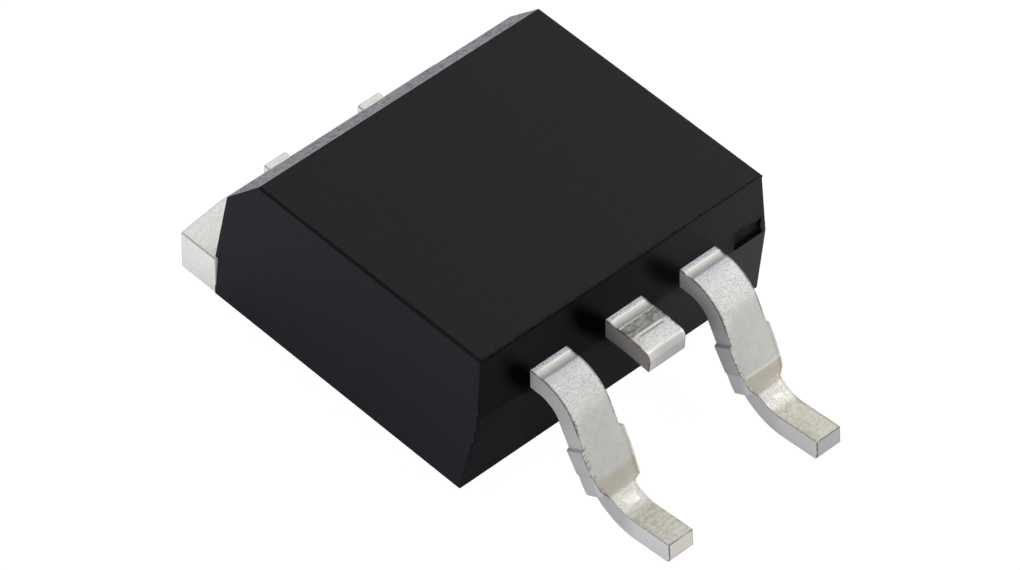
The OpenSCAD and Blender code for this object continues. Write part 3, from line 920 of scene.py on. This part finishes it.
print("grain sizes from", round(1 / 34, 3), "to", round(1 / 1.6, 2), "mm")

# %% [markdown]
# The masks, from the root to the toe: a flecked strip where the strip left the moulding, the groove
# with a painted highlight along its lip, the outside of the upper bend, crinkled by stretching, with
# painted glints and shade on its crinkles and a painted highlight on its top, a brownish facet that the
# die rubbed above the heel, with a painted highlight along its crease on the right lead, the heel with
# one shiny spot, and the foot, with painted shade on the right lead. Painted glints and dark streaks
# run along the rounded left edge of each lead. The centre lead has a rough rubbed zone, its ridge with
# a painted highlight and a painted shadow just beyond it, and a flecked end.

# %% Zones along a lead
peel_start, peel_end, foot_start = (0.33, 0.40), (0.80, 1.25), (4.2, 4.7)


def tin_zones(b, g):
    run, edge, across = b.read("run"), b.read("edge"), b.read("across")
    flank, toe, stump = b.read("flank"), b.read("toe"), b.read("stump")
    on_top, x = 1 - flank, b.axis("X")
    left_lead, right_lead = 1 - b.step(x, -1.0, 0.0), b.step(x, 1.0, 1.5)
    left_edge = b.step(0 - across, 0.25, 0.6)
    wander = 0.12 * (g.crinkle - 0.5)
    shiny = (b.band(across + wander, -0.10 * left_lead - 0.06, 0.08 * left_lead + 0.20, 0.08)
             * b.band(run + wander, 3.80 - 0.1 * left_lead, 4.12 + 0.2 * left_lead, 0.08))
    end, plate = stump * on_top, b.step(0 - run, 0.5, 0.9)
    return SimpleNamespace(
        run=run, edge=edge, flank=flank, toe=toe, stump=stump, on_top=on_top, worn=b.read("worn"),
        left_lead=left_lead, right_lead=right_lead, plate=plate, nub=plate * b.step(b.axis("Z"), 1.4, 1.6),
        root=b.band(run, -0.2, 0.085, 0.012) * on_top, painted_lip_highlight=b.band(run, 0.10, 0.13, 0.01) * on_top,
        groove=b.band(run, 0.155, 0.35, 0.02) * on_top,
        bright=b.band(run + 0.1 * (g.streak - 0.5), 0.33, 0.66, 0.10) * on_top * (1 - stump),
        peel_and_glints=b.step(run, *peel_start) * (1 - b.step(run - 0.3 * left_edge, *peel_end)) * on_top,
        slope=b.band(run, 0.95, 2.9, 0.25) * on_top,
        facet=b.band(run + 0.25 * (g.cloud - 0.5), 2.80, 3.62, 0.10) * on_top,
        crease=b.band(run + 0.1 * (g.cloud - 0.5), 2.74, 2.80, 0.03) * on_top * right_lead,
        dull=b.band(run, 3.62, 4.6, 0.15) * on_top * (1 - shiny), foot=b.step(run, *foot_start) * on_top,
        fringe_glints_and_streaks=left_edge * (1 - b.step(edge, 0.04, 0.16)) * b.band(run, 1.0, 3.6, 0.2) * on_top,
        rubbed=b.band(run + 0.1 * (g.streak - 0.5), 0.46, 0.855, 0.03) * end,
        ridge=b.band(run, 0.865, 0.905, 0.012) * b.band(across, -0.49, 0.43, 0.04) * end,
        painted_ridge_shadow=b.band(run, 0.93, 0.97, 0.015) * b.band(across, -0.39, 0.43, 0.06) * end,
        outer=b.step(run, 0.93, 0.98) * end)


print("crinkled", peel_start[0], "to", peel_end[1], "mm from the front face, foot from", foot_start[0], "mm")

# %% [markdown]
# The colour of the upper side starts as a cloudy grey-white and takes one tint after another, each
# held by its mask. The order matters, as with paint: a later tint covers an earlier one. The tab lies
# flat and mirrors the bright floor less, so it is a little whiter with a fine mottle.

# %% Colour of the upper side
clean_tin = hue("ece9e1")


def tin_top(b, g, m):
    c = b.tint(g.cloud, clean_tin, hue("e0ddd3"))
    c = b.tint(m.slope * b.step(g.mottle, 0.44, 0.64) * 0.35, c, hue("d9cfc3"))
    # Painted glints: white on the crinkles, most on the upper bend, with painted shade between them there.
    c = b.tint(b.step(g.crinkle, 0.36, 0.64) * (0.15 + 0.85 * m.peel_and_glints), c, hue("fffffc"))
    c = b.tint(m.peel_and_glints * (1 - b.step(g.crinkle, 0.36, 0.46)) * 0.5, c, hue("c2c0b9"))
    # Painted highlight: the top of the upper bend turns white.
    c = b.tint(m.bright * b.step(g.crinkle, 0.36, 0.46), c, hue("ffffff"))
    c = b.tint(m.root, c, b.tint(b.step(g.fleck, 0.38, 0.45), hue("aaada6"), hue("ffffff")))
    # Painted highlight: a white line along the lip of the groove.
    c = b.tint(m.painted_lip_highlight, c, hue("ffffff"))
    c = b.tint(m.groove * 0.8, c, hue("dfe1d8"))
    c = b.tint(m.facet * (0.7 + 0.3 * g.cloud), c, hue("dbd1bd"))
    # Painted highlight along the crease on the right lead.
    c = b.tint(m.crease * 0.8, c, hue("fffdf6"))
    c = b.tint(m.dull, c, b.tint(b.step(g.crinkle, 0.36, 0.56), hue("dcd8c9"), hue("fdfbf3")))
    wavy = b.step(g.dent + 0.3 * (g.grain - 0.5), 0.35, 0.65)
    c = b.tint(m.foot * 0.9, c, b.tint(wavy, hue("c3bfae"), hue("dedbcd")))
    # Painted shade: the right lead's foot is darker, against the glare of the lamps on the right.
    c = b.tint(m.foot * m.right_lead * 0.4, c, hue("b9b5a4"))
    # Painted glints along the rounded left edge, then dark streaks there.
    c = b.tint(m.fringe_glints_and_streaks * b.step(g.fleck, 0.42, 0.56) * 0.7, c, hue("fff8e4"))
    c = b.tint(m.fringe_glints_and_streaks * b.step(g.streak, 0.53, 0.58) * 0.6, c, hue("8f8068"))
    specks = b.step(g.fleck + 0.5 * (g.crinkle - 0.5), 0.32, 0.50)
    c = b.tint(m.outer, c, b.tint(specks, hue("cfcec8"), hue("fdfcf7")))
    c = b.tint(m.rubbed * (0.55 + 0.45 * b.step(g.streak, 0.4, 0.6)), c, hue("8e8c84"))
    # Painted shadow just beyond the ridge, then a painted highlight on the ridge itself.
    c = b.tint(m.painted_ridge_shadow * 0.7, c, hue("6b6a64"))
    c = b.tint(m.ridge, c, hue("fffef8"))
    c = b.tint(m.plate, c, b.tint(b.step(g.grain, 0.3, 0.7), hue("fffbf6"), hue("ece8e2")))
    return b.tint(m.nub * 0.8, c, b.tint(b.step(g.streak, 0.4, 0.6), hue("a3a194"), hue("d6d4c6")))


print("clean tin in linear light:", [round(part, 2) for part in clean_tin])

# %% [markdown]
# The flanks were sheared, which leaves them smoother and greyer, with some grain near the root. The
# right lead's left flank faces the centre lead and is darker with painted shade, and so is the flank
# of the centre lead itself. The flanks of the feet are lighter with painted light, more on the left
# lead, and the end of the left toe is pale cream with a painted reflection, less so on the centre lead.
# Thin brown broken lines run along the edges and where the tie bar was cut.

# %% Colour of the flanks and lines along the edges
def tin_side(b, g, m):
    c = b.tint(g.cloud, hue("d3d1d0"), hue("c6c3c3"))
    c = b.tint(b.band(m.run, -0.1, 1.0, 0.4), c, hue("d5d6cc"))
    # Painted shade on the flanks of the right lead, which lie beside the centre lead.
    c = b.tint(b.band(m.run, -0.5, 1.80, 0.05) * m.right_lead * 0.34, c, hue("8c8a8c"))
    grainy = b.band(m.run, -0.2, 1.3, 0.3) * (0.3 * b.step(g.fleck, 0.42, 0.58) + 0.2 * g.streak)
    c = b.tint(grainy, c, hue("a9aaa4"))
    # More painted shade on the flanks down the slope, mostly on the right lead.
    c = b.tint(b.band(m.run, 1.80, 2.66, 0.03) * (0.08 + 0.3 * m.right_lead), c, hue("8c8a8c"))
    # Painted light: the flanks of the feet are lighter, more on the left lead.
    c = b.tint(b.step(m.run, 4.3, 5.0) * (0.7 - 0.4 * m.right_lead), c, hue("eae9e4"))
    # Painted shade on the flank of the centre lead.
    c = b.tint(m.stump * (1 - m.toe) * 0.9, c, hue("8b8480"))
    # Painted reflection: the end of the left toe is pale cream, the centre lead's end less so.
    painted_toe_light = (m.left_lead + 0.4 * m.stump).held()
    c = b.tint(m.toe * 0.8, c, b.tint(painted_toe_light, hue("cccacd"), hue("fff9ea")))
    return b.tint(m.plate, c, b.tint(b.step(g.grain, 0.3, 0.7), hue("fffaf4"), hue("eee8e2")))


# Thin brown broken lines along the edges, wider near the root, and one at the end of the tie bar's stub.
def tin_lines(b, g, m):
    stub_part = b.band(m.run, 1.86, stub_mark, 0.02) * m.flank
    stub_end = b.band(m.run, stub_mark - 0.014, stub_mark + 0.014, 0.008) * m.flank
    thin = (1 - b.step(m.edge, 0.012, 0.04)) * (0.65 * m.flank + 0.1 + 0.3 * m.toe + 0.3 * stub_part)
    wide = (1 - b.step(m.edge, 0.03, 0.06)) * b.band(m.run, -0.25, 1.5, 0.1)
    return (thin + wide * 0.5 + stub_end * 0.9) * b.step(g.streak, 0.3, 0.5)


print("the tie bar was cut", round(stub_mark, 3), "mm along the lower edge")

# %% [markdown]
# Plating that has been pressed is shinier and plating that has been stretched or rubbed is duller.
# Metallic stays near a half, because matt tin scatters much light in its grain and looks pale even
# where it mirrors something dark. Three bumps are stacked: grain, crinkle and, on the foot only, soft
# dents from the die.

# %% Tin finish
def tin(b):
    g = tin_grains(b)
    m = tin_zones(b, g)
    base = b.tint(m.flank, tin_top(b, g, m), tin_side(b, g, m))
    base = b.tint(tin_lines(b, g, m), base, hue("4a403a"))
    base = b.tint(m.worn * m.plate * 0.6, base, hue("85837b"))
    base = b.tint(m.worn * m.nub * (0.2 + 0.7 * m.right_lead), base, hue("4f4d47"))
    rough = (0.36 + 0.16 * g.grain + 0.08 * m.peel_and_glints + 0.06 * m.groove - 0.06 * m.facet + 0.2 * m.dull
             + 0.12 * m.foot + 0.2 * m.rubbed)
    metal = (0.55 - 0.5 * m.root - 0.35 * m.painted_lip_highlight - 0.35 * m.plate - 0.20 * m.peel_and_glints - 0.3 * m.groove
             - 0.25 * m.dull - 0.1 * m.foot - 0.3 * m.outer - 0.2 * m.flank * (1 - m.plate) + 0.15 * m.bright)
    crinkled = g.crinkle * (0.2 + 1.5 * m.peel_and_glints + 0.6 * m.root + 0.6 * m.dull + 0.3 * m.foot + m.outer)
    fine = b.bump(g.grain + 0.4 * g.fleck, 0.014, 0.35)
    ripple = b.bump(crinkled * m.on_top, 0.024, 0.9, under=fine)
    wave = b.bump(b.step(g.dent, 0.3, 0.7) * m.foot, 0.005, 0.5, under=ripple)
    return {"Base Color": base, "Roughness": rough, "Metallic": metal, "Normal": wave}


matt_tin = finish_of("matt_tin", tin)
for piece in tin_pieces:
    dress(piece, matt_tin)

# %% [markdown]
# The chip, the solder under it and the three wires lie inside the block and are seen only when it is
# hidden. They keep the meshes of their solids, which are already fine enough, and get simple finishes:
# polished silicon with faint cells, satin solder and bright wire with drawn lines along it.

# %% Chip, solder and wires
def silicon(b):
    cloud, cells = b.noise(1.5, 2, 0.5), b.noise(12, 1, 0.4)
    return {"Base Color": b.tint(cloud, hue("8d9199"), hue("a9adb2")), "Roughness": 0.22 + 0.1 * cells,
            "Metallic": 0.8, "Normal": b.bump(cells, 0.002, 0.3)}


def solder(b):
    cloud = b.noise(2.5, 3, 0.6)
    return {"Base Color": b.tint(cloud, hue("a3a4a6"), hue("c2c2c0")), "Roughness": 0.3 + 0.2 * cloud,
            "Metallic": 1.0, "Normal": b.bump(cloud, 0.02, 0.4)}


def drawn_wire(b):
    lines = b.noise(9, 2, 0.5, stretch=(1, 0.2, 1))
    return {"Base Color": b.tint(lines, hue("d6d6d8"), hue("c6c7ca")), "Roughness": 0.22 + 0.15 * lines,
            "Metallic": 1.0, "Normal": b.bump(lines, 0.004, 0.4)}


inside = {"silicon_die": finish_of("silicon", silicon), "die_solder": finish_of("solder", solder)}
wire_finish = finish_of("drawn_wire", drawn_wire)
for name in ("gate_bond_wire", "source_bond_wire_1", "source_bond_wire_2"):
    inside[name] = wire_finish
for name, material in inside.items():
    dress(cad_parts[name], material)
print("dressed inside the block:", ", ".join(inside))

# %% [markdown] Last, the box that everything fills now is set beside the solids' box. Edges were
# only rounded and drawn inwards, so the second box may not be larger than the first.

# %% Sizes and end
bpy.context.view_layer.update()
sizes = {"cad": [list(v) for v in solid_box], "visual": [list(v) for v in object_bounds()]}
print("box after dressing, in mm:", [round((h - l) / MM, 3) for l, h in zip(*sizes["visual"])])
